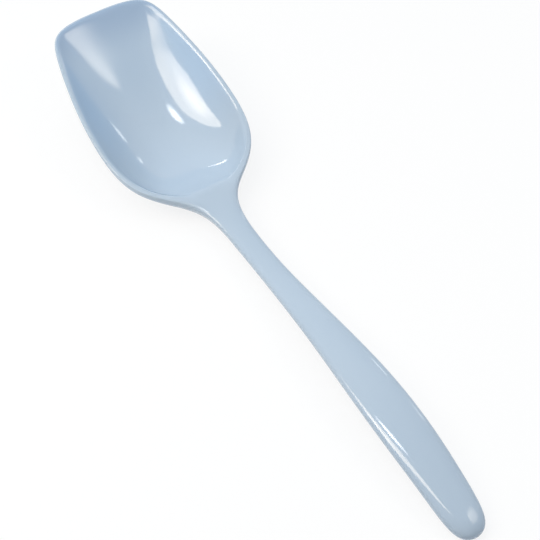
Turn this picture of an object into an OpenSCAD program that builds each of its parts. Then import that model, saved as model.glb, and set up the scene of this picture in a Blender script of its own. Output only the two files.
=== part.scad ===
// Cooking spoon: one moulding with a squared, deep bowl and a long, softly
// arched handle. Millimetres, +Z up. It lies as it rests on a table: the belly
// of the bowl and the underside of the handle's end touch the plane z = 0.
// The origin is on the table, midway along the spoon, and the tip points to -X.

/* [Overall] */
// Length from the bowl's front edge to the handle's end
overall_length = 280; // [240:1:330]
// Length from the front edge to the root of the neck
bowl_length = 100; // [90:1:112]
// Width of the bowl at its widest place
bowl_width = 62.2; // [52:0.2:72]
// Width of the handle at the neck
neck_width = 10.4; // [8:0.1:14]
// Width of the handle at the grip
grip_width = 19.5; // [16:0.1:25]

/* [Bowl] */
// Depth of the cavity below the rim's top
bowl_depth = 16.8; // [12:0.1:21]
// Wall thickness at the deepest place of the bowl
floor_wall = 2.5; // [1.6:0.1:4]
// Width of the rounded rim, seen from above
rim_width = 2.3; // [1.8:0.1:3.5]
// Thickness of the rim, seen from the side
rim_thickness = 2.2; // [1.6:0.1:3.2]
// How far the cavity's back lip lies in front of the neck's root
lip_setback = 10.5; // [7:0.5:16]
// Steepness of the cavity's wall just below the rim, in degrees
inner_wall_angle = 53; // [46:1:60]
// Steepness of the outside wall just below the rim, in degrees
outer_wall_angle = 48; // [44:1:60]
// How far the front edge curves back towards its corners
front_bow = 5; // [2:0.5:8]
// Softness of the edge between the rim and the cavity
side_lip_radius = 0.45; // [0.3:0.05:0.8]
// Softness of the edge between the neck and the cavity
back_lip_radius = 1; // [0.5:0.1:1.6]

/* [Handle] */
// Height of the handle above its parting line at the neck
neck_rise = 2.2; // [1.6:0.1:3.5]
// Depth of the handle below its parting line at the neck
neck_drop = 3.2; // [2.4:0.1:5]
// Height of the handle above its parting line at the grip
grip_rise = 3.4; // [2:0.1:4.5]
// Depth of the handle below its parting line at the grip
grip_drop = 4.2; // [3:0.1:6]
// Length of the rounded end of the handle
end_length = 25; // [18:1:35]

/* [Resting pose] */
// Height of the parting line at the front edge above the two resting places
tip_height = 34; // [28:0.2:40]
// Height of the parting line at the top of the handle's arch above them
arch_height = 14; // [12:0.2:17]

/* [Detail] */
// Columns of faces between two neighbouring points of the outline
columns_per_span = 4; // [3:1:5]
// Rows of faces round the rim's edge and the handle's upper edge
edge_rows = 4; // [3:1:5]
// Rows of faces across the land between the edge and the cavity
land_rows = 4; // [3:1:6]
// Rows of faces from the cavity's lip to its middle
cavity_rows = 11; // [8:1:14]
// Rows of faces round the underside's edge
lower_edge_rows = 3; // [3:1:5]
// Rows of faces from there to the middle of the underside
underside_rows = 10; // [8:1:13]

/* [Hidden] */

handle_length = overall_length - bowl_length;
half_bowl = bowl_width / 2;
half_neck = neck_width / 2;
half_grip = grip_width / 2;
rim_half = rim_thickness / 2;
cavity_end = bowl_length - lip_setback;
underside_depth = bowl_depth + floor_wall - rim_thickness;

// Control points of the bowl's half outline from the middle of the front edge:
// shares of the bowl's length, and of half its width
bowl_outline_shares = [
    [0, 0.077], [0, 0.302], [0.02, 0.707], [0.13, 0.817], [0.24, 0.894], [0.36, 0.961],
    [0.48, 0.997], [0.6, 1.006], [0.71, 0.965], [0.8, 0.84], [0.88, 0.585]
];
// Control points of the handle's half outline: shares of the handle's length
// beyond the bowl, and of the way from the neck's half width to the grip's
handle_outline_shares = [
    [-0.014, 0.09], [0.11, -0.01], [0.205, 0], [0.31, 0.18], [0.43, 0.465], [0.55, 0.82],
    [0.665, 1.03], [0.78, 0.98], [0.86, 0.82], [0.93, 0.71]
];
// Half width of the last control point, on the same scale
end_width_share = 0.28;

// Heights of the parting line at even steps from the tip to the end
bowl_height_shares = [1, 0.776, 0.561, 0.355];
handle_height_shares = [0.57, 0.641, 0.866, 1, 0.963, 0.713, 0.213];
// Depth of the cavity at even steps from its front lip to its back lip
cavity_shares = [0, 0.36, 0.72, 0.94, 1.03, 0.93, 0.6, 0];
// Depth of the underside at even steps from the tip to beyond the neck's root
underside_shares = [0, 0.41, 0.76, 0.97, 1.04, 0.905, 0.63, 0.45, 0.32, 0];
underside_reach_share = 1.22;

// Where the bowl's sections turn into the handle's: shares of the bowl's length
blend_start_share = 0.8;
blend_length_share = 0.45;
edge_start_share = 0.85;
edge_length_share = 0.3;
lip_start_share = 0.75;
lip_length_share = 0.25;
bow_fade_share = 0.45;
back_fade_share = 0.3;
// Where the neck's section turns into the grip's: shares of the handle's length
grip_start_share = 0.11;
grip_length_share = 0.5;
// Where the faces of the middle line begin and end, as shares of the bowl's
// length, and of the rounded end's length
front_reach_share = 0.1;
back_reach_share = 0.14;
end_reach_share = 0.28;
// Largest part of a column that the rounded edge's rows may fill
edge_span_share = 0.6;
// How closely the rows gather at the cavity's lip and at the lower edge
cavity_gather_share = 0.3;
underside_gather_share = 0.45;

// Exponents of the rounded sections: higher is squarer
edge_roundness = 3;
upper_roundness = 2.2;
lower_roundness = 2.4;
back_roundness = 2.3;
least_wall_power = 2;
most_wall_power = 60;
// Points of the outline that are kept for reading off a width
width_steps = 16;

// Uniform cubic B-spline weights at a share f of a span
function spline_weights(f) = [
    pow(1 - f, 3),
    3 * pow(f, 3) - 6 * pow(f, 2) + 4,
    -3 * pow(f, 3) + 3 * pow(f, 2) + 3 * f + 1,
    pow(f, 3)
] / 6;
// Their slopes, to half scale
function spline_slopes(f) = [
    -pow(1 - f, 2),
    3 * pow(f, 2) - 4 * f,
    -3 * pow(f, 2) + 2 * f + 1,
    pow(f, 2)
] / 2;

function clamp(value, low, high) = max(low, min(high, value));
function ease(value) = let (t = clamp(value, 0, 1)) t * t * (3 - 2 * t);
function mix(a, b, share) = a + (b - a) * share;
// Rises smoothly from 0, turning to a straight climb round zero
function soft_ramp(value, radius) =
    value > 20 * radius ? value : radius * ln(1 + exp(value / radius));

// A smooth height along evenly spaced control heights, for t from 0 to 1
function profile(t, heights) =
    let (
        spans = len(heights) - 1,
        place = clamp(t, 0, 1) * spans,
        i = min(floor(place), spans - 1),
        before = i == 0 ? 2 * heights[0] - heights[1] : heights[i - 1],
        after = i == spans - 1 ? 2 * heights[spans] - heights[spans - 1] : heights[i + 2]
    )
    spline_weights(place - i) * [before, heights[i], heights[i + 1], after];

// Control points of the half outline, in millimetres
outline_controls = [
    for (p = bowl_outline_shares) [p[0] * bowl_length, p[1] * half_bowl],
    for (p = handle_outline_shares)
        [bowl_length + p[0] * handle_length, mix(half_neck, half_grip, p[1])]
];
control_count = len(outline_controls) + 1;
// The last control point is set so that the curve ends at the overall length
last_x = outline_controls[control_count - 2].x;
end_control = [
    overall_length + (overall_length - last_x) / 23,
    mix(half_neck, half_grip, end_width_share)
];
half_controls = concat(outline_controls, [end_control]);
// The half outline with two mirrored points at either end
all_controls = [
    for (i = [1:-1:0]) [half_controls[i].x, -half_controls[i].y],
    for (p = half_controls) p,
    for (i = [1:2]) [half_controls[control_count - i].x, -half_controls[control_count - i].y]
];

function outline_window(i) = [for (k = [0:3]) all_controls[i + k]];
// A point of the half outline, t spans after the middle of the front edge
function outline_point(t) =
    let (
        place = t + 0.5,
        i = min(floor(place), control_count),
        p = spline_weights(place - i) * outline_window(i)
    )
    [p.x, t == 0 || t == control_count ? 0 : p.y];
// The direction towards the middle, square to the outline
function inward(t) =
    let (
        place = t + 0.5,
        i = min(floor(place), control_count),
        d = spline_slopes(place - i) * outline_window(i)
    )
    [d.y, -d.x] / norm(d);

last_column = control_count * columns_per_span;
root_column = ceil((len(bowl_outline_shares) + 0.5) * columns_per_span);
outline = [for (i = [0:last_column]) outline_point(i / columns_per_span)];
width_table = [for (i = [0:control_count * width_steps]) outline_point(i / width_steps)];
function half_width(x) = max(lookup(x, width_table), 0.001 * half_neck);

// The widest column of the bowl
widest = max([for (i = [0:root_column]) outline[i].y]);
wide_column = [for (i = [0:root_column]) if (outline[i].y == widest) i][0];
wide_x = outline[wide_column].x;

// The cavity's lip: the outline drawn in by the rim's width along the sides,
// then an arc across the root of the neck
function lip_arc(share) =
    let (turn = 90 * share, power = 2 / back_roundness)
    [
        wide_x + (cavity_end - wide_x) * pow(sin(turn), power),
        share == 1 ? 0 : (widest - rim_width) * pow(cos(turn), power)
    ];
function lip_point(i) =
    i == 0 ? [rim_width, 0] :
    i < wide_column ? outline[i] + rim_width * inward(i / columns_per_span) :
    lip_arc((i - wide_column) / (root_column - wide_column));
lip = [for (i = [0:root_column]) lip_point(i)];
function cavity_half_width(x) = max(lookup(x, lip), 0.001 * half_neck);

// Heights and depths along the spoon
rest_heights = concat(bowl_height_shares * tip_height, handle_height_shares * arch_height);
function parting_height(x) = profile(x / overall_length, rest_heights);
function cavity_profile(x) =
    bowl_depth * profile((x - rim_width) / (cavity_end - rim_width), cavity_shares);
function underside_profile(x) =
    underside_depth * profile(x / (underside_reach_share * bowl_length), underside_shares);
function section_blend(x) = ease((x / bowl_length - blend_start_share) / blend_length_share);
function grip_blend(x) =
    ease(((x - bowl_length) / handle_length - grip_start_share) / grip_length_share);
function rise(x) = mix(mix(rim_half, neck_rise, section_blend(x)), grip_rise, grip_blend(x));
function drop(x) = mix(mix(rim_half, neck_drop, section_blend(x)), grip_drop, grip_blend(x));
function edge_blend(x) = ease((x / bowl_length - edge_start_share) / edge_length_share);
function lip_softness(x) =
    mix(side_lip_radius, back_lip_radius, ease((x / bowl_length - lip_start_share) / lip_length_share));
function bow(p) =
    front_bow * pow(p.y / half_bowl, 2) * (1 - ease(p.x / (bow_fade_share * bowl_length)));

// Depth at a plan point of a hollow whose depth along the middle is given: the
// wall keeps its steepness at the rim all round, so the floor is broad and flat
// where the hollow is shallow and round where it is deep
function hollow(p, at_point, at_middle, half, steepness) =
    let (
        side = clamp(abs(p.y) / half, 0, 1),
        power = clamp(steepness * half / max(at_middle, 0.001 * bowl_depth),
            least_wall_power, most_wall_power)
    )
    max(at_point, 0) * (1 - pow(side, power));
function cavity_depth(p) =
    hollow(p, cavity_profile(p.x - bow(p)), cavity_profile(p.x),
        cavity_half_width(p.x), tan(inner_wall_angle));
function underside_bulge(p) =
    hollow(p, underside_profile(p.x - bow(p)), underside_profile(p.x),
        half_width(p.x), tan(outer_wall_angle));
// Share of the full height at a share of a rounded edge
function edge_curve(share, roundness) =
    pow(1 - pow(1 - clamp(share, 0, 1), roundness), 1 / roundness);

// Running lengths along the outline and the lip
function lengths(points, i = 0, run = 0) =
    i == len(points) - 1 ? [run] :
    concat([run], lengths(points, i + 1, run + norm(points[i + 1] - points[i])));
outline_run = lengths(outline);
lip_run = lengths(lip);

// Where each column meets the middle line, in the cavity and below
front_reach = front_reach_share * bowl_length;
cavity_reach = cavity_end - back_reach_share * bowl_length;
function cavity_middle(i) =
    mix(front_reach, cavity_reach, lip_run[i] / lip_run[root_column]);
end_start = overall_length - end_length;
end_column = [for (i = [root_column:last_column]) if (outline[i].x > end_start) i][0];
function end_middle(i) =
    mix(outline[end_column].x, overall_length - end_reach_share * end_length,
        (outline_run[i] - outline_run[end_column])
        / (outline_run[last_column] - outline_run[end_column]));
function lower_middle(i) =
    i < wide_column ? mix(front_reach, wide_x, outline_run[i] / outline_run[wide_column]) :
    i < end_column ? outline[i].x :
    end_middle(i);
// The upper face's columns start from the lip's end and fall into step
root_gap = outline[root_column].x - cavity_end;
function upper_middle(i) =
    lower_middle(i) - root_gap
    * (1 - ease((outline[i].x - outline[root_column].x) / (back_fade_share * bowl_length)));
function upper_inner(i) = i <= root_column ? lip[i] : [upper_middle(i), 0];

// One column of the upper face, from the outline inwards
function edge_length(i, length) =
    min(length, mix(rim_half, length, edge_blend(outline[i].x)));
function rows_inwards(span, length) = [
    for (j = [0:edge_rows]) span * (1 - cos(90 * j / edge_rows)),
    for (j = [1:land_rows]) mix(span, length, j / land_rows)
];
function land_height(i, p, d, length, direction) =
    let (
        softness = lip_softness(outline[i].x),
        past_lip = soft_ramp(d - length, softness),
        lip_drop = i > root_column ? 0 : cavity_depth(lip[i] + direction * past_lip),
        roundness = mix(edge_roundness, upper_roundness, edge_blend(outline[i].x))
    )
    parting_height(p.x) + rise(p.x) * edge_curve(d / edge_length(i, length), roundness)
    - lip_drop;
function cavity_direction(i) =
    let (way = [cavity_middle(i), 0] - lip[i]) way / norm(way);
function land_column(i) =
    let (
        start = outline[i],
        way = upper_inner(i) - start,
        length = norm(way),
        span = min(edge_length(i, length), edge_span_share * length),
        direction = i > root_column ? [0, 0] : cavity_direction(i)
    )
    [
        for (d = rows_inwards(span, length))
            let (p = start + way * d / length)
            [p.x, p.y, land_height(i, p, d, length, direction)]
    ];

// One column of the cavity, from the lip inwards
function cavity_column(i) =
    let (
        length = norm([cavity_middle(i), 0] - lip[i]),
        direction = cavity_direction(i),
        softness = lip_softness(outline[i].x)
    )
    [
        for (j = [1:cavity_rows])
            let (
                share = j / cavity_rows,
                d = length * mix(share * share, share, cavity_gather_share),
                p = lip[i] + direction * d,
                sample = lip[i] + direction * min(length, soft_ramp(d, softness))
            )
            [p.x, j == cavity_rows ? 0 : p.y, parting_height(p.x) + rise(p.x) - cavity_depth(sample)]
    ];

// One column of the underside, from the outline inwards
function underside_column(i) =
    let (
        start = outline[i],
        way = [lower_middle(i), 0] - start,
        length = norm(way),
        reach = min(length, mix(rim_half, length, edge_blend(start.x))),
        span = min(reach, length / 2),
        roundness = mix(edge_roundness, lower_roundness, edge_blend(start.x)),
        rows = [
            for (j = [1:lower_edge_rows]) span * (1 - cos(90 * j / lower_edge_rows)),
            for (j = [1:underside_rows])
                let (share = j / underside_rows)
                mix(span, length, mix(share * share, share, underside_gather_share))
        ]
    )
    [
        for (d = rows)
            let (p = start + way * d / length)
            [
                p.x,
                d == length ? 0 : p.y,
                parting_height(p.x) - drop(p.x) * edge_curve(d / reach, roundness)
                - underside_bulge(p)
            ]
    ];

// The shell's columns run from the upper face's inner row over the edge to the
// middle of the underside, and the cavity's columns follow after them
function reversed(list) = [for (i = [len(list) - 1:-1:0]) list[i]];
shell_rows = edge_rows + land_rows + lower_edge_rows + underside_rows + 1;
shell_points = [
    for (i = [0:last_column])
        each concat(reversed(land_column(i)), underside_column(i))
];
cavity_points = [for (i = [0:root_column]) each cavity_column(i)];
one_side = concat(shell_points, cavity_points);
side_count = len(one_side);

// The spoon is settled on the table: the lowest places of the bowl and of the
// handle's end are brought to one level
function lowest(points) =
    let (low = min([for (p = points) p.z]))
    [for (p = points) if (p.z == low) p][0];
belly_rest = lowest([for (p = one_side) if (p.x < bowl_length) p]);
end_rest = lowest([for (p = one_side) if (p.x > end_start) p]);
function settling(x) =
    mix(belly_rest.z, end_rest.z, (x - belly_rest.x) / (end_rest.x - belly_rest.x));
settled = [for (p = one_side) [p.x - overall_length / 2, p.y, p.z - settling(p.x)]];
seat = min([for (p = settled) p.z]);
placed = [for (p = settled) [p.x, p.y, p.z - seat]];
spoon_points = concat(placed, [for (p = placed) [p.x, -p.y, p.z]]);

// Number of a point, counting the rows on from the cavity's middle; the points
// of the middle plane belong to both sides
function on_middle(i, row) =
    i == 0 || i == last_column || row == -cavity_rows || row == shell_rows - 1
    || (row == 0 && i >= root_column) || (row <= 0 && i == root_column);
function point_number(i, row, side) =
    let (
        number = row >= 0 ? i * shell_rows + row :
            len(shell_points) + i * cavity_rows - row - 1
    )
    number + (side == 1 && !on_middle(i, row) ? side_count : 0);
// Two faces of one patch, cut across the corner that lies off the middle plane
function face_pair(i, row, side) =
    let (
        a = point_number(i, row, side),
        b = point_number(i, row + 1, side),
        c = point_number(i + 1, row + 1, side),
        d = point_number(i + 1, row, side),
        turned = on_middle(i, row) && on_middle(i + 1, row + 1),
        pair = turned ? [[a, b, d], [b, c, d]] : [[a, b, c], [a, c, d]]
    )
    side == 0 ? pair : [for (face = pair) reversed(face)];
spoon_faces = [
    for (side = [0, 1], i = [0:last_column - 1])
        for (row = [(i < root_column ? -cavity_rows : 0):shell_rows - 2])
            each face_pair(i, row, side)
];

module spoon() {
    color("lightsteelblue")
        polyhedron(points = spoon_points, faces = spoon_faces, convexity = 6);
}

spoon();
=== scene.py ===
"""Cooking spoon: one pale blue, glossy moulding resting on a pale table.

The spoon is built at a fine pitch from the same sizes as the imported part, in its frame: +X from
the bowl's tip to the handle's end, +Z up, the table at zero height. Sizes in the classes are in
millimetres, and Blender's objects are in metres.
"""

import logging
import math
from dataclasses import dataclass, field
from enum import Enum
from typing import Any, Callable, Mapping, Sequence, Union

import bpy
import numpy as np
from mathutils import Matrix, Vector


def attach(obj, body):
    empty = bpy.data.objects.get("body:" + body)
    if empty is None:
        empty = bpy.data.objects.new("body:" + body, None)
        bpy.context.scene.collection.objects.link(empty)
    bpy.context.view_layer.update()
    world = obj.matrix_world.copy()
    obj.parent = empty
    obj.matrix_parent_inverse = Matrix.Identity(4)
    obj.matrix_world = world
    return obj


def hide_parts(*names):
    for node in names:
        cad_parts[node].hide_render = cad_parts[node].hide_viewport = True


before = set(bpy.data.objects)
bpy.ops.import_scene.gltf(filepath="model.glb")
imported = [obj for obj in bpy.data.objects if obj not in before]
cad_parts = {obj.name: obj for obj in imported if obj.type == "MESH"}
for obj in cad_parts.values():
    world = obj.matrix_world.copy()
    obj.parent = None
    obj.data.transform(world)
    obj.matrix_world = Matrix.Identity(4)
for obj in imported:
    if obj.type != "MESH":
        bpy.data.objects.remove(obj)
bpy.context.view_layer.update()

MM = 0.001
PHOTO_PIXELS = 540
SENSOR_MM = 36.0
EDGE_SAMPLES = 2000
LEAST_WIDTH = 0.001
# Weight of an inner control point against an outer one, at the middle of a spline's span
INNER_WEIGHT = 23
WHITE = (1.0, 1.0, 1.0, 1.0)

log = logging.getLogger("spoon")

Face = tuple[int, ...]
DepthLine = Callable[[np.ndarray], np.ndarray]


# Curves


def ease(value: np.ndarray) -> np.ndarray:
    """Smooth step from 0 to 1."""
    held = np.clip(value, 0.0, 1.0)
    return held * held * (3.0 - 2.0 * held)


def mix(first: Any, second: Any, share: Any) -> Any:
    """Straight mix of two values or arrays."""
    return first + (second - first) * share


def soft_ramp(value: np.ndarray, radius: Any) -> np.ndarray:
    """Height of a ramp that starts to climb at zero, with a turn of the given softness."""
    return radius * np.logaddexp(0.0, value / radius)


def spline_weights(share: np.ndarray) -> list[np.ndarray]:
    """Weights of four neighbouring control points in a uniform cubic B-spline.

    Args:
        share: Place within the span, from 0 to 1.

    Returns:
        The four weights, which add up to 1.
    """
    return [
        (1 - share) ** 3 / 6,
        (3 * share**3 - 6 * share**2 + 4) / 6,
        (-3 * share**3 + 3 * share**2 + 3 * share + 1) / 6,
        share**3 / 6,
    ]


def spline_slopes(share: np.ndarray) -> list[np.ndarray]:
    """Slopes of the same four weights.

    Args:
        share: Place within the span, from 0 to 1.

    Returns:
        The four slopes, which add up to 0.
    """
    return [
        -((1 - share) ** 2) / 2,
        (3 * share**2 - 4 * share) / 2,
        (-3 * share**2 + 2 * share + 1) / 2,
        share**2 / 2,
    ]


def profile(place: np.ndarray, heights: Sequence[float]) -> np.ndarray:
    """A smooth height along evenly spaced control heights with natural ends.

    Args:
        place: Share of the way along, held between 0 and 1.
        heights: The control heights.

    Returns:
        The height at each place.
    """
    controls = np.asarray(heights, float)
    padded = np.r_[2 * controls[0] - controls[1], controls, 2 * controls[-1] - controls[-2]]
    spans = len(controls) - 1
    along = np.clip(place, 0.0, 1.0) * spans
    span = np.minimum(along.astype(int), spans - 1)
    weights = spline_weights(along - span)
    return sum(weight * padded[span + k] for k, weight in enumerate(weights))


def even_edge(rows: int, roundness: float) -> np.ndarray:
    """Shares across a rounded edge that lie at even distances along its curve.

    Args:
        rows: Number of steps round the edge.
        roundness: Exponent of the edge's rounded section.

    Returns:
        Shares from 0 at the outline to 1 where the edge has levelled out.
    """
    turn = np.linspace(0.0, math.pi / 2, EDGE_SAMPLES)
    across = 1 - np.cos(turn) ** (2 / roundness)
    up = np.sin(turn) ** (2 / roundness)
    run = np.r_[0.0, np.cumsum(np.hypot(np.diff(across), np.diff(up)))]
    return np.interp(np.linspace(0.0, run[-1], rows + 1), run, across)


def edge_curve(share: np.ndarray, roundness: Any) -> np.ndarray:
    """Share of the full height at a share of the way across an edge of a given roundness."""
    left = 1 - np.clip(share, 0.0, 1.0)
    return (1 - left**roundness) ** (1 / roundness)


def running(points: np.ndarray) -> np.ndarray:
    """Running length along a row of points."""
    return np.r_[0.0, np.cumsum(np.linalg.norm(np.diff(points, axis=0), axis=1))]


def stepped(start: np.ndarray, way: np.ndarray, distance: np.ndarray) -> np.ndarray:
    """A column of points from each start, at distances along its way of length 1."""
    return start[:, None, :] + way[:, None, :] * distance[:, :, None]


# The spoon's form


@dataclass(frozen=True)
class Outline:
    """The half outline seen from above, from the middle of the tip to the middle of the end."""

    overall_length: float = 280.0
    bowl_length: float = 100.0
    bowl_width: float = 62.2
    neck_width: float = 10.4
    grip_width: float = 19.5
    bowl_shares: tuple[tuple[float, float], ...] = (
        (0, 0.077), (0, 0.302), (0.02, 0.707), (0.13, 0.817), (0.24, 0.894), (0.36, 0.961),
        (0.48, 0.997), (0.6, 1.006), (0.71, 0.965), (0.8, 0.84), (0.88, 0.585),
    )
    handle_shares: tuple[tuple[float, float], ...] = (
        (-0.014, 0.09), (0.11, -0.01), (0.205, 0), (0.31, 0.18), (0.43, 0.465),
        (0.55, 0.82), (0.665, 1.03), (0.78, 0.98), (0.86, 0.82), (0.93, 0.71),
    )
    end_width_share: float = 0.28

    @property
    def handle_length(self) -> float:
        """Length of the neck and the grip together."""
        return self.overall_length - self.bowl_length

    @property
    def span_count(self) -> int:
        """Number of spans from the tip's middle to the end's middle."""
        return len(self.bowl_shares) + len(self.handle_shares) + 1

    @property
    def root(self) -> float:
        """Place of the neck's root, in spans from the tip's middle."""
        return len(self.bowl_shares) + 0.5

    def controls(self) -> np.ndarray:
        """Control points of the half outline.

        Returns:
            The points, with two mirrored ones at either end.
        """
        half_bowl, half_neck, half_grip = (
            width / 2 for width in (self.bowl_width, self.neck_width, self.grip_width)
        )
        rows = [(x * self.bowl_length, y * half_bowl) for x, y in self.bowl_shares]
        rows += [
            (self.bowl_length + x * self.handle_length, mix(half_neck, half_grip, y))
            for x, y in self.handle_shares
        ]
        last_x = rows[-1][0]
        end_x = self.overall_length + (self.overall_length - last_x) / INNER_WEIGHT
        rows.append((end_x, mix(half_neck, half_grip, self.end_width_share)))
        half = np.array(rows)
        mirror = np.array([1.0, -1.0])
        return np.vstack([half[[1, 0]] * mirror, half, half[[-1, -2]] * mirror])

    def trace(self, places: np.ndarray) -> tuple[np.ndarray, np.ndarray]:
        """Points of the outline and the directions square to it, towards the middle.

        Args:
            places: Places in spans from the tip's middle.

        Returns:
            The points and the inward directions, one row for each place.
        """
        controls = self.controls()
        along = places + 0.5
        span = np.minimum(along.astype(int), self.span_count)
        share = along - span
        points, slopes = (
            sum(weight[:, None] * controls[span + k] for k, weight in enumerate(weights))
            for weights in (spline_weights(share), spline_slopes(share))
        )
        points[(places <= 0) | (places >= self.span_count), 1] = 0.0
        inward = np.c_[slopes[:, 1], -slopes[:, 0]]
        return points, inward / np.linalg.norm(inward, axis=1)[:, None]


@dataclass(frozen=True)
class Bowl:
    """Sizes of the bowl: its cavity, underside and rim."""

    depth: float = 16.8
    floor_wall: float = 2.5
    rim_width: float = 1.7
    rim_thickness: float = 2.2
    lip_setback: float = 10.5
    inner_wall_angle: float = 53.0
    outer_wall_angle: float = 48.0
    front_bow: float = 5.0
    side_lip_radius: float = 0.45
    back_lip_radius: float = 1.0
    back_roundness: float = 2.3
    cavity_shares: tuple[float, ...] = (0, 0.36, 0.72, 0.94, 1.03, 0.93, 0.6, 0)
    underside_shares: tuple[float, ...] = (0, 0.41, 0.76, 0.97, 1.04, 0.905, 0.63, 0.45, 0.32, 0)
    underside_reach_share: float = 1.22
    least_depth_share: float = 0.001
    least_wall_power: float = 2.0
    most_wall_power: float = 60.0


@dataclass(frozen=True)
class Handle:
    """Sizes of the handle's section, from the neck to the grip."""

    neck_rise: float = 2.2
    neck_drop: float = 3.2
    grip_rise: float = 3.4
    grip_drop: float = 4.2
    end_length: float = 25.0
    edge_roundness: float = 3.0
    upper_roundness: float = 2.2
    lower_roundness: float = 2.4


@dataclass(frozen=True)
class Pose:
    """Heights of the parting line as the spoon rests on the table."""

    tip_height: float = 34.0
    arch_height: float = 14.0
    bowl_shares: tuple[float, ...] = (1, 0.776, 0.561, 0.355)
    handle_shares: tuple[float, ...] = (0.57, 0.641, 0.866, 1, 0.963, 0.713, 0.213)

    def heights(self) -> np.ndarray:
        """Control heights from the tip to the end."""
        bowl, handle = np.array(self.bowl_shares), np.array(self.handle_shares)
        return np.r_[bowl * self.tip_height, handle * self.arch_height]


@dataclass(frozen=True)
class Turns:
    """Where one form turns into the next, as shares of the bowl's length.

    The grip's shares are of the handle's length, and the end's share is of the end's length.
    """

    section_start: float = 0.8
    section_length: float = 0.45
    edge_start: float = 0.85
    edge_length: float = 0.3
    lip_start: float = 0.75
    lip_length: float = 0.25
    bow_fade: float = 0.45
    back_fade: float = 0.3
    grip_start: float = 0.11
    grip_length: float = 0.5
    front_reach: float = 0.1
    back_reach: float = 0.14
    end_reach: float = 0.28


@dataclass(frozen=True)
class Pitch:
    """How finely the skin is divided, and how far its rows gather towards the edges."""

    bowl_columns: int = 16
    handle_columns: int = 8
    edge_rows: int = 12
    land_rows: int = 12
    cavity_rows: int = 44
    lower_edge_rows: int = 10
    underside_rows: int = 34
    edge_span: float = 0.6
    cavity_gather: float = 0.3
    underside_gather: float = 0.45


@dataclass(frozen=True)
class SpoonForm:
    """The spoon's surface as heights over the plan, in the design frame with the tip at zero."""

    outline: Outline = field(default_factory=Outline)
    bowl: Bowl = field(default_factory=Bowl)
    handle: Handle = field(default_factory=Handle)
    pose: Pose = field(default_factory=Pose)
    turns: Turns = field(default_factory=Turns)

    @property
    def rim_half(self) -> float:
        """Half the rim's thickness."""
        return self.bowl.rim_thickness / 2

    @property
    def cavity_end(self) -> float:
        """Place of the cavity's back lip on the middle line."""
        return self.outline.bowl_length - self.bowl.lip_setback

    def bowl_share(self, x: np.ndarray) -> np.ndarray:
        """Share of the bowl's length at a place."""
        return x / self.outline.bowl_length

    def parting_height(self, x: np.ndarray) -> np.ndarray:
        """Height of the parting line above the table."""
        return profile(x / self.outline.overall_length, self.pose.heights())

    def cavity_profile(self, x: np.ndarray) -> np.ndarray:
        """Depth of the cavity along the middle line."""
        share = (x - self.bowl.rim_width) / (self.cavity_end - self.bowl.rim_width)
        return self.bowl.depth * profile(share, self.bowl.cavity_shares)

    def underside_profile(self, x: np.ndarray) -> np.ndarray:
        """Depth of the underside along the middle line.

        Args:
            x: Places along the spoon.

        Returns:
            The depths below the rim's lower face.
        """
        full = self.bowl.depth + self.bowl.floor_wall - self.bowl.rim_thickness
        reach = self.bowl.underside_reach_share * self.outline.bowl_length
        return full * profile(x / reach, self.bowl.underside_shares)

    def section_blend(self, x: np.ndarray) -> np.ndarray:
        """From 0 in the bowl to 1 in the neck."""
        return ease((self.bowl_share(x) - self.turns.section_start) / self.turns.section_length)

    def grip_blend(self, x: np.ndarray) -> np.ndarray:
        """From 0 in the neck to 1 in the grip."""
        share = (x - self.outline.bowl_length) / self.outline.handle_length
        return ease((share - self.turns.grip_start) / self.turns.grip_length)

    def rise(self, x: np.ndarray) -> np.ndarray:
        """Height of the upper face above the parting line."""
        neck = mix(self.rim_half, self.handle.neck_rise, self.section_blend(x))
        return mix(neck, self.handle.grip_rise, self.grip_blend(x))

    def drop(self, x: np.ndarray) -> np.ndarray:
        """Depth of the lower face below the parting line."""
        neck = mix(self.rim_half, self.handle.neck_drop, self.section_blend(x))
        return mix(neck, self.handle.grip_drop, self.grip_blend(x))

    def edge_blend(self, x: np.ndarray) -> np.ndarray:
        """From 0 where the edge is a rim to 1 where it is the handle's whole width."""
        return ease((self.bowl_share(x) - self.turns.edge_start) / self.turns.edge_length)

    def lip_softness(self, x: np.ndarray) -> np.ndarray:
        """Softness of the cavity's lip."""
        share = ease((self.bowl_share(x) - self.turns.lip_start) / self.turns.lip_length)
        return mix(self.bowl.side_lip_radius, self.bowl.back_lip_radius, share)

    def bow(self, x: np.ndarray, y: np.ndarray) -> np.ndarray:
        """How far the front wall curves back at a distance from the middle line."""
        left = 1 - ease(self.bowl_share(x) / self.turns.bow_fade)
        return self.bowl.front_bow * (2 * y / self.outline.bowl_width) ** 2 * left

    def hollow(
        self, side: np.ndarray, at_point: np.ndarray, at_middle: np.ndarray, reach: np.ndarray
    ) -> np.ndarray:
        """Depth at a share of the half width.

        Args:
            side: Share of the half width, from 0 at the middle line to 1 at the wall.
            at_point: Depth of the middle line that counts for the point.
            at_middle: Depth of the middle line beside the point.
            reach: Half width times the steepness at the wall.

        Returns:
            The depth, which keeps the wall's steepness at the rim all round.
        """
        bowl = self.bowl
        least = bowl.least_depth_share * bowl.depth
        power = np.clip(
            reach / np.maximum(at_middle, least), bowl.least_wall_power, bowl.most_wall_power
        )
        return np.maximum(at_point, 0.0) * (1 - np.clip(side, 0.0, 1.0) ** power)


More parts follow.
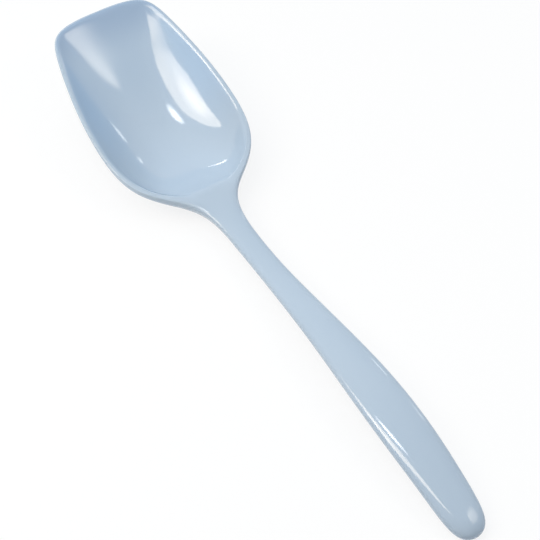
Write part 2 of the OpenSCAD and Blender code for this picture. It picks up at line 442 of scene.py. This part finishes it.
class SpoonSkin:
    """One side of the spoon's closed skin as columns of points, and its mirrored mesh."""

    def __init__(self, form: SpoonForm, pitch: Pitch) -> None:
        """Lays out the columns.

        Args:
            form: The surface.
            pitch: How finely it is divided.
        """
        self.form = form
        self.pitch = pitch
        outline = form.outline
        root = outline.root
        bowl = np.linspace(0.0, root, int(root * pitch.bowl_columns) + 1)
        steps = int((outline.span_count - root) * pitch.handle_columns)
        handle = np.linspace(root, outline.span_count, steps + 1)[1:]
        self.places = np.r_[bowl, handle]
        self.root = len(bowl) - 1
        self.edge, self.inward = outline.trace(self.places)
        self.widest = int(np.argmax(self.edge[: self.root + 1, 1]))
        self.lip = self._lip()
        self._middle_points()

    def _lip(self) -> np.ndarray:
        """The cavity's lip: along the sides the outline drawn in, at the back an arc.

        Returns:
            One point of the plan for each column of the bowl.
        """
        form, bowl = self.form, self.form.bowl
        lip = self.edge[: self.root + 1] + bowl.rim_width * self.inward[: self.root + 1]
        wide_x, wide_y = self.edge[self.widest]
        count = self.root - self.widest
        turn = np.linspace(0.0, math.pi / 2, count + 1)
        power = 2 / bowl.back_roundness
        lip[self.widest :, 0] = wide_x + (form.cavity_end - wide_x) * np.sin(turn) ** power
        sideways = np.clip(np.cos(turn), 0.0, 1.0) ** power
        lip[self.widest :, 1] = (wide_y - bowl.rim_width) * sideways
        lip[0] = (bowl.rim_width, 0.0)
        lip[-1] = (form.cavity_end, 0.0)
        return lip

    def _middle_points(self) -> None:
        """Where each column meets the middle line, in the cavity, below and above."""
        form, root, widest = self.form, self.root, self.widest
        length, turns = form.outline.bowl_length, form.turns
        front = turns.front_reach * length
        back = form.cavity_end - turns.back_reach * length
        lip_run = running(self.lip)
        self.cavity_middle = mix(front, back, lip_run / lip_run[-1])
        run = running(self.edge)
        x = self.edge[:, 0]
        overall = form.outline.overall_length
        end_start = overall - form.handle.end_length
        end = int(np.flatnonzero((x > end_start) & (np.arange(len(x)) > root))[0])
        lower = x.copy()
        lower[:widest] = mix(front, x[widest], run[:widest] / run[widest])
        end_share = (run[end:] - run[end]) / (run[-1] - run[end])
        lower[end:] = mix(x[end], overall - turns.end_reach * form.handle.end_length, end_share)
        self.lower_middle = lower
        gap = x[root] - form.cavity_end
        self.upper_middle = lower - gap * (1 - ease((x - x[root]) / (turns.back_fade * length)))

    def _depth(
        self, plan: np.ndarray, border: np.ndarray, angle: float, middle: DepthLine
    ) -> np.ndarray:
        """Depth of the cavity or of the underside.

        Args:
            plan: Points of the plan.
            border: Line of the plan where the wall starts.
            angle: The wall's steepness there, in degrees.
            middle: The depth along the middle line.

        Returns:
            The depth at each point.
        """
        x, y = plan[..., 0], plan[..., 1]
        half = np.maximum(np.interp(x, border[:, 0], border[:, 1]), LEAST_WIDTH)
        reach = half * math.tan(math.radians(angle))
        at_point = middle(x - self.form.bow(x, y))
        return self.form.hollow(np.abs(y) / half, at_point, middle(x), reach)

    def cavity_depth(self, plan: np.ndarray) -> np.ndarray:
        """Depth of the cavity below the rim's top."""
        form = self.form
        return self._depth(plan, self.lip, form.bowl.inner_wall_angle, form.cavity_profile)

    def underside_bulge(self, plan: np.ndarray) -> np.ndarray:
        """Depth of the underside below the rim's lower face."""
        form = self.form
        return self._depth(plan, self.edge, form.bowl.outer_wall_angle, form.underside_profile)

    def _cavity_way(self) -> tuple[np.ndarray, np.ndarray]:
        """Way of each column from the lip to the middle of the cavity.

        Returns:
            The directions and the lengths.
        """
        way = np.c_[self.cavity_middle, np.zeros(self.root + 1)] - self.lip
        length = np.linalg.norm(way, axis=1)
        return way / length[:, None], length

    def land(self) -> np.ndarray:
        """Points of the upper face from the outline inwards.

        Returns:
            One column of points for each place.
        """
        form, root = self.form, self.root
        inner = np.c_[self.upper_middle, np.zeros(len(self.places))]
        inner[: root + 1] = self.lip
        way = inner - self.edge
        length = np.linalg.norm(way, axis=1)[:, None]
        x0 = self.edge[:, :1]
        blend = form.edge_blend(x0)
        reach = np.minimum(length, mix(form.rim_half, length, blend))
        span = np.minimum(reach, self.pitch.edge_span * length)
        roundness = mix(form.handle.edge_roundness, form.handle.upper_roundness, blend)
        rounded = span * even_edge(self.pitch.edge_rows, form.handle.edge_roundness)
        flat = mix(span, length, np.arange(1, self.pitch.land_rows + 1) / self.pitch.land_rows)
        inwards = np.hstack([rounded, flat])
        plan = stepped(self.edge, way / length, inwards)
        x, y = plan[..., 0], plan[..., 1]
        height = form.rise(x) * edge_curve(inwards / reach, roundness)
        direction, _ = self._cavity_way()
        softness = form.lip_softness(x0[: root + 1])
        past = soft_ramp(inwards[: root + 1] - length[: root + 1], softness)
        height[: root + 1] -= self.cavity_depth(stepped(self.lip, direction, past))
        return np.dstack([x, y, form.parting_height(x) + height])

    def cavity(self) -> np.ndarray:
        """Points of the cavity from the lip inwards.

        Returns:
            One column of points for each place of the bowl.
        """
        form = self.form
        direction, length = self._cavity_way()
        share = np.arange(1, self.pitch.cavity_rows + 1) / self.pitch.cavity_rows
        inwards = length[:, None] * mix(share * share, share, self.pitch.cavity_gather)
        softness = form.lip_softness(self.edge[: self.root + 1, :1])
        plan = stepped(self.lip, direction, inwards)
        past = np.minimum(soft_ramp(inwards, softness), length[:, None])
        x, y = plan[..., 0], plan[..., 1]
        y[:, -1] = 0.0
        depth = self.cavity_depth(stepped(self.lip, direction, past))
        return np.dstack([x, y, form.parting_height(x) + form.rise(x) - depth])

    def underside(self) -> np.ndarray:
        """Points of the lower face from the outline inwards, without the outline itself.

        Returns:
            One column of points for each place.
        """
        form = self.form
        way = np.c_[self.lower_middle, np.zeros(len(self.places))] - self.edge
        length = np.linalg.norm(way, axis=1)[:, None]
        blend = form.edge_blend(self.edge[:, :1])
        reach = np.minimum(length, mix(form.rim_half, length, blend))
        span = np.minimum(reach, length / 2)
        roundness = mix(form.handle.edge_roundness, form.handle.lower_roundness, blend)
        rounded = span * even_edge(self.pitch.lower_edge_rows, form.handle.edge_roundness)[1:]
        share = np.arange(1, self.pitch.underside_rows + 1) / self.pitch.underside_rows
        gathered = mix(share * share, share, self.pitch.underside_gather)
        inner = mix(span, length, gathered)
        inwards = np.hstack([rounded, inner])
        plan = stepped(self.edge, way / length, inwards)
        x, y = plan[..., 0], plan[..., 1]
        y[:, -1] = 0.0
        depth = form.drop(x) * edge_curve(inwards / reach, roundness)
        return np.dstack([x, y, form.parting_height(x) - depth - self.underside_bulge(plan)])

    def _settling(self, points: np.ndarray) -> np.ndarray:
        """How far each point sinks to bring the belly and the handle's end to one level.

        Args:
            points: The skin's points, with the tip at zero.

        Returns:
            The drop of each point.
        """
        x, outline = points[:, 0], self.form.outline
        belly = points[x < outline.bowl_length]
        end = points[x > outline.overall_length - self.form.handle.end_length]
        (belly_x, _, belly_z), (end_x, _, end_z) = (
            part[part[:, 2].argmin()] for part in (belly, end)
        )
        return mix(belly_z, end_z, (x - belly_x) / (end_x - belly_x))

    def _numbering(self, shell_rows: int, cavity_rows: int) -> tuple[np.ndarray, np.ndarray]:
        """Numbers the points of one side, in columns from the cavity's middle to the belly.

        Args:
            shell_rows: Rows of the upper and lower faces together.
            cavity_rows: Rows of the cavity.

        Returns:
            The number at each place, or -1 where a column has no cavity, and which places lie
            on the middle plane.
        """
        columns, bowl = len(self.places), self.root + 1
        outside = np.arange(columns * shell_rows).reshape(columns, -1)
        inside = columns * shell_rows + np.arange(bowl * cavity_rows).reshape(bowl, -1)
        numbers = np.full((columns, cavity_rows + shell_rows), -1)
        numbers[:, cavity_rows:] = outside
        numbers[:bowl, :cavity_rows] = inside[:, ::-1]
        middle = np.zeros(numbers.shape, bool)
        middle[[0, -1]] = True
        middle[:bowl, 0] = True
        middle[:, -1] = True
        middle[self.root :, cavity_rows] = True
        middle[self.root, : cavity_rows + 1] = True
        return numbers, middle

    def _faces(self, numbers: np.ndarray, middle: np.ndarray, cavity_rows: int) -> list[Face]:
        """Faces between neighbouring columns of one side.

        Args:
            numbers: The number of the point at each place.
            middle: Which places lie on the middle plane.
            cavity_rows: Rows of the cavity.

        Returns:
            The faces, with a square cut in two where only one corner is off the middle plane.
        """
        faces: list[Face] = []
        columns, rows = numbers.shape
        for column in range(columns - 1):
            for row in range(0 if column < self.root else cavity_rows, rows - 1):
                ring = [(column, row), (column, row + 1), (column + 1, row + 1), (column + 1, row)]
                corners = [int(numbers[at]) for at in ring]
                free = [k for k, at in enumerate(ring) if not middle[at]]
                if len(free) == 1:
                    first, second, third, fourth = corners[free[0] :] + corners[: free[0]]
                    faces += [(first, second, third), (first, third, fourth)]
                else:
                    faces.append(tuple(corners))
        return faces

    def mesh_data(self) -> tuple[np.ndarray, list[Face]]:
        """Points and faces of the whole closed skin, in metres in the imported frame.

        Returns:
            The points, and the faces as corner numbers with outward normals.
        """
        upper, cavity, lower = self.land(), self.cavity(), self.underside()
        shell = np.concatenate([upper[:, ::-1], lower], axis=1)
        cavity_rows = cavity.shape[1]
        numbers, middle = self._numbering(shell.shape[1], cavity_rows)
        one_side = np.vstack([shell.reshape(-1, 3), cavity.reshape(-1, 3)])
        one_side[numbers[middle & (numbers >= 0)], 1] = 0.0
        points = np.vstack([one_side, one_side * np.array([1.0, -1.0, 1.0])])
        points[:, 2] -= self._settling(points)
        points[:, 0] -= self.form.outline.overall_length / 2
        points[:, 2] -= points[:, 2].min()
        mirrored = np.where(middle, numbers, numbers + len(one_side))
        faces = [face[::-1] for face in self._faces(numbers, middle, cavity_rows)]
        faces += self._faces(mirrored, middle, cavity_rows)
        used = np.unique([corner for face in faces for corner in face])
        fresh = np.searchsorted(used, np.arange(len(points))).tolist()
        return points[used] * MM, [tuple(fresh[corner] for corner in face) for face in faces]


# Shader maths


Operand = Union["Value", float]
Socket = bpy.types.NodeSocket


class Ray(Enum):
    """Kinds of light path that see the plain white background."""

    CAMERA = "Is Camera Ray"
    GLOSSY = "Is Glossy Ray"
    TRANSMISSION = "Is Transmission Ray"


class Value:
    """A number that varies over a surface, with its sums written as expressions."""

    def __init__(self, nodes: "NodeMaker", socket: Socket) -> None:
        """Wraps the output socket that carries the number."""
        self.nodes = nodes
        self.socket = socket

    def _math(self, operation: str, *values: Operand) -> "Value":
        """A Math node on this maker's values."""
        return self.nodes.math(operation, *values)

    def __add__(self, other: Operand) -> "Value":
        """Sum."""
        return self._math("ADD", self, other)

    def __radd__(self, other: float) -> "Value":
        """Sum with a number on the left."""
        return self._math("ADD", other, self)

    def __sub__(self, other: Operand) -> "Value":
        """Difference."""
        return self._math("SUBTRACT", self, other)

    def __rsub__(self, other: float) -> "Value":
        """Difference from a number."""
        return self._math("SUBTRACT", other, self)

    def __mul__(self, other: Operand) -> "Value":
        """Product."""
        return self._math("MULTIPLY", self, other)

    def __rmul__(self, other: float) -> "Value":
        """Product with a number on the left."""
        return self._math("MULTIPLY", other, self)

    def __truediv__(self, other: Operand) -> "Value":
        """Quotient."""
        return self._math("DIVIDE", self, other)

    def __pow__(self, other: Operand) -> "Value":
        """Power."""
        return self._math("POWER", self, other)

    def clamp(self) -> "Value":
        """This value held between 0 and 1."""
        return self._math("MINIMUM", self._math("MAXIMUM", self, 0.0), 1.0)


class NodeMaker:
    """Makes the nodes of one material, lamp or world."""

    def __init__(self, owner: bpy.types.Material | bpy.types.Light | bpy.types.World) -> None:
        """Empties the owner's node tree.

        Args:
            owner: What the nodes belong to.
        """
        owner.use_nodes = True
        self.owner = owner
        self.tree = owner.node_tree
        self.tree.nodes.clear()

    def node(
        self,
        kind: str,
        settings: Mapping[str, Any] | None = None,
        inputs: Mapping[str | int, Any] | None = None,
    ) -> bpy.types.Node:
        """A node with its settings, and then its sockets' values or links.

        Args:
            kind: The node's type name.
            settings: Its settings.
            inputs: A value, socket or Value for each named or numbered input.

        Returns:
            The new node.
        """
        made = self.tree.nodes.new(kind)
        for key, setting in (settings or {}).items():
            setattr(made, key, setting)
        for key, given in (inputs or {}).items():
            socket = made.inputs[key]
            if isinstance(given, Value):
                self.tree.links.new(given.socket, socket)
            elif isinstance(given, Socket):
                self.tree.links.new(given, socket)
            else:
                socket.default_value = given
        return made

    def math(self, operation: str, *values: Operand) -> Value:
        """A Math node."""
        made = self.node("ShaderNodeMath", {"operation": operation}, dict(enumerate(values)))
        return Value(self, made.outputs[0])

    def place(self) -> Socket:
        """Object coordinates, in metres."""
        return self.node("ShaderNodeTexCoord").outputs["Object"]

    def normal(self) -> Socket:
        """Direction that the surface faces."""
        return self.node("ShaderNodeNewGeometry").outputs["Normal"]

    def part(self, vector: Socket, axis: str) -> Value:
        """One coordinate of a vector."""
        made = self.node("ShaderNodeSeparateXYZ", inputs={"Vector": vector})
        return Value(self, made.outputs[axis])

    def vector_math(self, operation: str, first: Any, second: Any) -> bpy.types.Node:
        """A Vector Math node."""
        return self.node("ShaderNodeVectorMath", {"operation": operation}, {0: first, 1: second})

    def ramp(self, value: Value, low: float, high: float) -> Value:
        """A value rising from 0 at low to 1 at high, with soft ends.

        Args:
            value: The value that is mapped.
            low: Where the result is 0.
            high: Where the result is 1.

        Returns:
            The mapped value.
        """
        made = self.node(
            "ShaderNodeMapRange",
            {"interpolation_type": "SMOOTHSTEP"},
            {"Value": value, "From Min": low, "From Max": high},
        )
        return Value(self, made.outputs[0])

    def background_share(self) -> Value:
        """Share of the kinds of light path that see the plain white background.

        Returns:
            1 for those kinds and 0 for the others.
        """
        path = self.node("ShaderNodeLightPath")
        camera, glossy, transmission = (Value(self, path.outputs[ray.value]) for ray in Ray)
        return (camera + glossy + transmission).clamp()

    def blend(self, first: Any, second: Any, share: Value) -> Socket:
        """Mix of two colours.

        Args:
            first: Colour at a share of 0.
            second: Colour at a share of 1.
            share: The share.

        Returns:
            The mixed colour's socket.
        """
        made = self.node(
            "ShaderNodeMix",
            {"data_type": "RGBA"},
            {0: share, 6: first, 7: second},
        )
        return made.outputs[2]


def linear(red: int, green: int, blue: int) -> tuple[float, float, float, float]:
    """A screen colour, from 0 to 255 each, as the shader's linear colour.

    Args:
        red: Red.
        green: Green.
        blue: Blue.

    Returns:
        The linear colour with full alpha.
    """
    shares = [channel / 255 for channel in (red, green, blue)]
    made = [s / 12.92 if s <= 0.04045 else ((s + 0.055) / 1.055) ** 2.4 for s in shares]
    return (made[0], made[1], made[2], 1.0)


@dataclass(frozen=True)
class Grain:
    """A seeded noise pattern, stretched and turned about the upright axis."""

    stretch: tuple[float, float, float]
    scale: float
    detail: float
    seed: float
    band: tuple[float, float] = (0.0, 1.0)
    turn: float = 0.0
    roughness: float = 0.55

    def pattern(self, nodes: NodeMaker) -> Value:
        """The noise itself.

        Args:
            nodes: The material's node maker.

        Returns:
            A value between 0 and 1.
        """
        turn = (0.0, 0.0, math.radians(self.turn))
        vector = nodes.node(
            "ShaderNodeMapping",
            inputs={"Vector": nodes.place(), "Scale": self.stretch, "Rotation": turn},
        )
        made = nodes.node(
            "ShaderNodeTexNoise",
            {"noise_dimensions": "4D"},
            {
                "Vector": vector.outputs["Vector"],
                "W": self.seed,
                "Scale": self.scale,
                "Detail": self.detail,
                "Roughness": self.roughness,
            },
        )
        return Value(nodes, made.outputs[0])

    def cover(self, nodes: NodeMaker) -> Value:
        """How far the noise's band covers a place, from 0 to 1."""
        return nodes.ramp(self.pattern(nodes), *self.band)


@dataclass(frozen=True)
class Melamine:
    """The finish: pale blue resin, coloured through, with a polished mould's gloss.

    It carries painted shade: a bluer tone on the cavity's steep sides and a darker one on its
    front wall. The bowl's middle and the two bands along the spoon are in metres.
    """

    colour: tuple[int, int, int] = (180, 196, 212)
    deeper: tuple[int, int, int] = (176, 193, 210)
    # hollow is painted shade: a bluer tone laid on the cavity's steep walls, fading out towards
    # the back
    hollow: tuple[int, int, int] = (177, 201, 226)
    # front is painted shade: a darker tone laid on the cavity's front wall
    front: tuple[int, int, int] = (156, 179, 206)
    bowl_middle: tuple[float, float, float] = (-0.09, 0.0, 0.03)
    skin_turn: tuple[float, float] = (-0.008, 0.0)
    # Ranges that lay the painted shade: by how steep the skin is, by the front wall's place, and
    # by where the steep-wall shade fades out
    steep_to_level: tuple[float, float] = (0.62, 0.97)
    front_wall: tuple[float, float] = (-0.137, -0.122)
    fading: tuple[float, float] = (-0.107, -0.068)
    gloss_roughness: float = 0.06
    smear_roughness: float = 0.05
    scratch_roughness: float = 0.1
    scratch_depth: float = 0.12
    skin_strength: float = 0.03
    skin_height: float = 0.0006
    refraction: float = 1.6
    speck_share: float = 0.25
    flow: Grain = Grain((18.0, 34.0, 34.0), 1.0, 4.0, 3.0, (0.35, 0.65))
    specks: Grain = Grain((1.0, 1.0, 1.0), 1500.0, 2.0, 11.0, (0.4, 0.7))
    smear: Grain = Grain((40.0, 90.0, 90.0), 1.0, 5.0, 21.0, (0.45, 0.8))
    scratches: tuple[Grain, Grain] = (
        Grain((30.0, 2200.0, 900.0), 1.0, 2.0, 5.0, (0.66, 0.72), 14.0),
        Grain((24.0, 1900.0, 900.0), 1.0, 2.0, 8.0, (0.67, 0.73), -31.0),
    )
    skin: Grain = Grain((1.0, 1.0, 1.0), 60.0, 1.0, 2.0)

    def material(self) -> bpy.types.Material:
        """Makes the material.

        Returns:
            The material, ready for a mesh slot.
        """
        nodes = NodeMaker(bpy.data.materials.new("melamine_pale_blue_painted_shade"))
        first, second = (grain.cover(nodes) for grain in self.scratches)
        scratches = (first + second).clamp()
        smear = self.smear_roughness * self.smear.cover(nodes)
        bump = nodes.node(
            "ShaderNodeBump",
            inputs={
                "Strength": self.skin_strength,
                "Distance": self.skin_height,
                "Height": self.skin.pattern(nodes) - scratches * self.scratch_depth,
            },
        )
        shader = nodes.node(
            "ShaderNodeBsdfPrincipled",
            inputs={
                "Base Color": self._tone(nodes),
                "Roughness": self.gloss_roughness + smear + self.scratch_roughness * scratches,
                "IOR": self.refraction,
                "Normal": bump.outputs["Normal"],
            },
        )
        nodes.node("ShaderNodeOutputMaterial", inputs={"Surface": shader.outputs["BSDF"]})
        return nodes.owner

    def _tone(self, nodes: NodeMaker) -> Socket:
        """The resin's colour at each place, with painted shade on the cavity's steep sides and
        front wall.

        Args:
            nodes: The material's node maker.

        Returns:
            The colour's socket.
        """
        specks = self.specks.cover(nodes) * self.speck_share
        mottle = (self.flow.cover(nodes) * (1.0 - self.speck_share) + specks).clamp()
        along = nodes.part(nodes.place(), "X")
        inside = self._inside(nodes)
        # Painted shade: the cavity's steep walls take the bluer hollow tone, fading towards the
        # back
        steep_shade_share = 1.0 - nodes.ramp(nodes.part(nodes.normal(), "Z"), *self.steep_to_level)
        forward_shade_share = 1.0 - nodes.ramp(along, *self.fading)
        front_wall_shade_share = 1.0 - nodes.ramp(along, *self.front_wall)
        colour = nodes.blend(linear(*self.colour), linear(*self.deeper), mottle)
        colour = nodes.blend(colour, linear(*self.hollow), steep_shade_share * forward_shade_share * inside)
        # Painted shade: the cavity's front wall takes the darker front tone
        return nodes.blend(colour, linear(*self.front), front_wall_shade_share * inside)

    def _inside(self, nodes: NodeMaker) -> Value:
        """How far a place belongs to the cavity, whose skin faces the bowl's middle; it keeps the
        painted shade inside.

        Args:
            nodes: The material's node maker.

        Returns:
            From 0 on the rim, the outside and the handle to 1 in the cavity.
        """
        outwards = nodes.vector_math("SUBTRACT", nodes.place(), self.bowl_middle)
        facing = nodes.vector_math("DOT_PRODUCT", outwards.outputs["Vector"], nodes.normal())
        return 1.0 - nodes.ramp(Value(nodes, facing.outputs["Value"]), *self.skin_turn)


@dataclass
class Spoon:
    """The whole spoon: bowl, rim, neck and handle in one moulding."""

    form: SpoonForm = field(default_factory=SpoonForm)
    pitch: Pitch = field(default_factory=Pitch)
    finish: Melamine = field(default_factory=Melamine)

    def build(self) -> bpy.types.Object:
        """Builds the moulding's mesh and dresses it.

        Returns:
            The spoon's object.
        """
        points, faces = SpoonSkin(self.form, self.pitch).mesh_data()
        mesh = bpy.data.meshes.new("spoon_moulding")
        mesh.from_pydata(points.tolist(), [], faces)
        mesh.shade_smooth()
        piece = bpy.data.objects.new("spoon_moulding", mesh)
        bpy.context.scene.collection.objects.link(piece)
        piece.data.materials.append(self.finish.material())
        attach(piece, "root")
        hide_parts("spoon")
        log.info("spoon: %d points, %d faces", len(mesh.vertices), len(mesh.polygons))
        return piece


# The studio


@dataclass(frozen=True)
class Table:
    """The pale table top that the spoon lies on, which reads as the white background."""

    size: float = 6000.0
    colour: tuple[int, int, int] = (248, 248, 248)
    plain_white: float = 0.85

    def build(self) -> bpy.types.Object:
        """Builds the table top.

        Returns:
            The table's object.
        """
        half = self.size / 2 * MM
        mesh = bpy.data.meshes.new("table_top")
        corners = [(-half, -half, 0), (half, -half, 0), (half, half, 0), (-half, half, 0)]
        mesh.from_pydata(corners, [], [(0, 1, 2, 3)])
        piece = bpy.data.objects.new("table_top", mesh)
        bpy.context.scene.collection.objects.link(piece)
        nodes = NodeMaker(bpy.data.materials.new("table_white"))
        matt = nodes.node("ShaderNodeBsdfDiffuse", inputs={"Color": linear(*self.colour)})
        plain = nodes.node("ShaderNodeEmission", inputs={"Color": WHITE})
        surface = nodes.node(
            "ShaderNodeMixShader",
            inputs={
                0: nodes.background_share() * self.plain_white,
                1: matt.outputs["BSDF"],
                2: plain.outputs["Emission"],
            },
        )
        nodes.node("ShaderNodeOutputMaterial", inputs={"Surface": surface.outputs["Shader"]})
        mesh.materials.append(nodes.owner)
        return piece


class LampShape(Enum):
    """Outlines of a flat lamp."""

    RECTANGLE = "RECTANGLE"
    ELLIPSE = "ELLIPSE"


def looking(back: Vector, roll: float) -> Matrix:
    """Rotation of a camera or lamp that looks along its own -Z.

    Args:
        back: Direction from what it looks at to itself, of length 1.
        roll: Turn about that direction, in degrees.

    Returns:
        The rotation, with the local X level when the roll is zero.
    """
    right = Vector((-back.y, back.x, 0.0)).normalized()
    axes = Matrix((right, back.cross(right), back)).transposed()
    return axes @ Matrix.Rotation(math.radians(roll), 3, "Z")


@dataclass(frozen=True)
class Card:
    """A black card that cuts a lamp's lit part along a straight line.

    The line runs between two points of the cloth, in millimetres from its middle, and the lit
    part lies on its left, seen from the first point.
    """

    start: tuple[float, float]
    end: tuple[float, float]
    softness: float = 10.0

    def share(self, nodes: NodeMaker, across: Value, up: Value) -> Value:
        """How much of the light passes the card.

        Args:
            nodes: The lamp's node maker.
            across: Place across the cloth, in millimetres from its middle.
            up: Place up the cloth, in millimetres from its middle.

        Returns:
            From 0 behind the card to 1 clear of it.
        """
        run = Vector(self.end) - Vector(self.start)
        rise, shift = up - self.start[1], across - self.start[0]
        clear = rise * (run.x / run.length) - shift * (run.y / run.length)
        return nodes.ramp(clear, 0.0, self.softness)


@dataclass(frozen=True)
class Glow:
    """How the light spreads over a lamp's cloth, in millimetres from its middle."""

    hot_spot: tuple[float, float] = (0.0, 0.0)
    reach: tuple[float, float] = (300.0, 300.0)
    edge: float = 1.0
    core: float = 1.0
    cards: tuple[Card, ...] = ()

    def dress(self, lamp: bpy.types.Light, width: float, height: float) -> None:
        """Gives the lamp its glow.

        Args:
            lamp: The lamp.
            width: The cloth's width in millimetres.
            height: The cloth's height in millimetres.
        """
        nodes = NodeMaker(lamp)
        place = nodes.node("ShaderNodeNewGeometry").outputs["Parametric"]
        across = (nodes.part(place, "X") - 0.5) * width
        up = (nodes.part(place, "Y") - 0.5) * height
        sideways = (across - self.hot_spot[0]) / self.reach[0]
        upwards = (up - self.hot_spot[1]) / self.reach[1]
        distance = (sideways * sideways + upwards * upwards) ** 0.5
        strength = self.core - (self.core - self.edge) * nodes.ramp(distance, 0.0, 1.0)
        for card in self.cards:
            strength = strength * card.share(nodes, across, up)
        light = nodes.node("ShaderNodeEmission", inputs={"Strength": strength})
        nodes.node("ShaderNodeOutputLight", inputs={"Surface": light.outputs["Emission"]})


@dataclass(frozen=True)
class Softbox:
    """A flat studio lamp that faces a point of the spoon, with its cloth's width and height."""

    name: str
    place: tuple[float, float, float]
    aim: tuple[float, float, float]
    cloth: tuple[float, float]
    brightness: float
    spin: float = 0.0
    shape: LampShape = LampShape.RECTANGLE
    glow: Glow = field(default_factory=Glow)
    tint: tuple[float, float, float] = (1.0, 1.0, 1.0)

    def build(self) -> bpy.types.Object:
        """Hangs the lamp.

        Returns:
            The lamp's object.
        """
        lamp = bpy.data.lights.new(self.name, "AREA")
        lamp.shape = self.shape.value
        lamp.size, lamp.size_y = (side * MM for side in self.cloth)
        lamp.energy = self.brightness * math.pi * lamp.size * lamp.size_y
        lamp.color = self.tint
        self.glow.dress(lamp, *self.cloth)
        piece = bpy.data.objects.new(self.name, lamp)
        place = Vector(self.place) * MM
        rotation = looking((place - Vector(self.aim) * MM).normalized(), self.spin)
        piece.matrix_world = Matrix.Translation(place) @ rotation.to_4x4()
        bpy.context.scene.collection.objects.link(piece)
        return piece


@dataclass(frozen=True)
class Studio:
    """Lamps and surroundings of the shot."""

    sky: tuple[float, float, float, float] = (0.79, 0.925, 1.06, 1.0)
    bright_side: tuple[float, float, float] = (-0.27, -0.05, 0.96)
    sky_turn: tuple[float, float] = (0.35, 1.0)
    dim: float = 0.08
    bright: float = 1.2
    boxes: tuple[Softbox, ...] = (
        Softbox(
            "softbox_key", (-88.9, -365.7, 544.1), (-88.9, -25.7, -5.9), (810.0, 204.0), 3.55,
            spin=46.6,
            tint=(1.29, 1.11, 0.88),
            glow=Glow(
                hot_spot=(-145.0, -15.0), reach=(220.0, 85.0), edge=1.2, core=2.4,
                cards=(
                    Card((-62.0, -108.0), (400.0, 12.0)),
                    Card((-404.0, 50.0), (-234.0, -88.0)),
                    Card((405.0, 22.0), (60.0, 104.0)),
                ),
            ),
        ),
        Softbox(
            "lamp_overhead", (-94.0, -118.5, 559.0), (-64.0, -3.5, 9.0), (186.0, 68.0), 8.0,
            spin=61.0,
            shape=LampShape.ELLIPSE,
            glow=Glow(reach=(93.0, 34.0), edge=0.4, core=2.0),
        ),
        Softbox(
            "softbox_fill", (189.8, 347.5, 485.4), (-107.2, 61.5, -17.6), (270.0, 270.0), 2.6,
            spin=-12.0,
            tint=(1.1, 1.0, 0.85),
            glow=Glow(
                hot_spot=(-70.0, 60.0), reach=(170.0, 170.0), edge=0.7, core=1.6,
                cards=(
                    Card((-66.0, 135.0), (-125.0, 88.0), 30.0),
                    Card((72.0, 68.0), (12.0, 108.0), 45.0),
                ),
            ),
        ),
        Softbox("lamp_low_front", (-996.0, 44.6, 366.4), (-63.0, 12.0, 8.0), (340.0, 60.0), 7.5),
        Softbox(
            "lamp_side_first", (-321.5, 886.7, 378.2), (-96.4, -16.1, 11.7), (70.0, 100.0), 3.5
        ),
        Softbox(
            "lamp_side_second", (-496.3, 798.2, 414.1), (-81.6, -15.8, 7.4), (70.0, 80.0), 3.5
        ),
    )

    def build(self) -> None:
        """Sets the world and hangs the lamps."""
        nodes = NodeMaker(bpy.data.worlds.new("studio_surround"))
        direction = nodes.node("ShaderNodeTexCoord").outputs["Generated"]
        towards = nodes.vector_math("DOT_PRODUCT", direction, self.bright_side)
        side = nodes.ramp(Value(nodes, towards.outputs["Value"]), *self.sky_turn)
        soft = self.dim + (self.bright - self.dim) * side
        plain = nodes.background_share()
        shade = nodes.node(
            "ShaderNodeBackground",
            inputs={
                "Color": nodes.blend(self.sky, WHITE, plain),
                "Strength": soft + (1.0 - soft) * plain,
            },
        )
        nodes.node("ShaderNodeOutputWorld", inputs={"Surface": shade.outputs["Background"]})
        bpy.context.scene.world = nodes.owner
        for box in self.boxes:
            box.build()
            log.info("lamp %s", box.name)


@dataclass(frozen=True)
class PhotoCamera:
    """The camera of the photograph, as fitted to the spoon's outline."""

    place: tuple[float, float, float] = (616.495, -375.424, 845.055)
    azimuth: float = 58.8123
    elevation: float = 49.0979
    roll: float = -0.115
    focal_pixels: float = 2855.4
    clip: tuple[float, float] = (0.05, 20.0)

    def build(self) -> bpy.types.Object:
        """Makes the camera and hands it to the scene.

        Returns:
            The camera's object.
        """
        lens = bpy.data.cameras.new("photo_camera")
        lens.sensor_width = SENSOR_MM
        lens.lens = self.focal_pixels / PHOTO_PIXELS * SENSOR_MM
        lens.clip_start, lens.clip_end = self.clip
        turn, lift = math.radians(self.azimuth), math.radians(self.elevation)
        back = Vector(
            (math.sin(turn) * math.cos(lift), -math.cos(turn) * math.cos(lift), math.sin(lift))
        )
        piece = bpy.data.objects.new("photo_camera", lens)
        axes = looking(back, self.roll)
        piece.matrix_world = Matrix.Translation(Vector(self.place) * MM) @ axes.to_4x4()
        bpy.context.scene.collection.objects.link(piece)
        bpy.context.scene.camera = piece
        return piece


def main() -> None:
    """Builds the camera, the studio and the spoon."""
    logging.basicConfig(level=logging.INFO, format="%(name)s %(message)s")
    bpy.context.scene.view_settings.view_transform = "Standard"
    PhotoCamera().build()
    Table().build()
    Studio().build()
    Spoon().build()


if __name__ == "__main__":
    main()
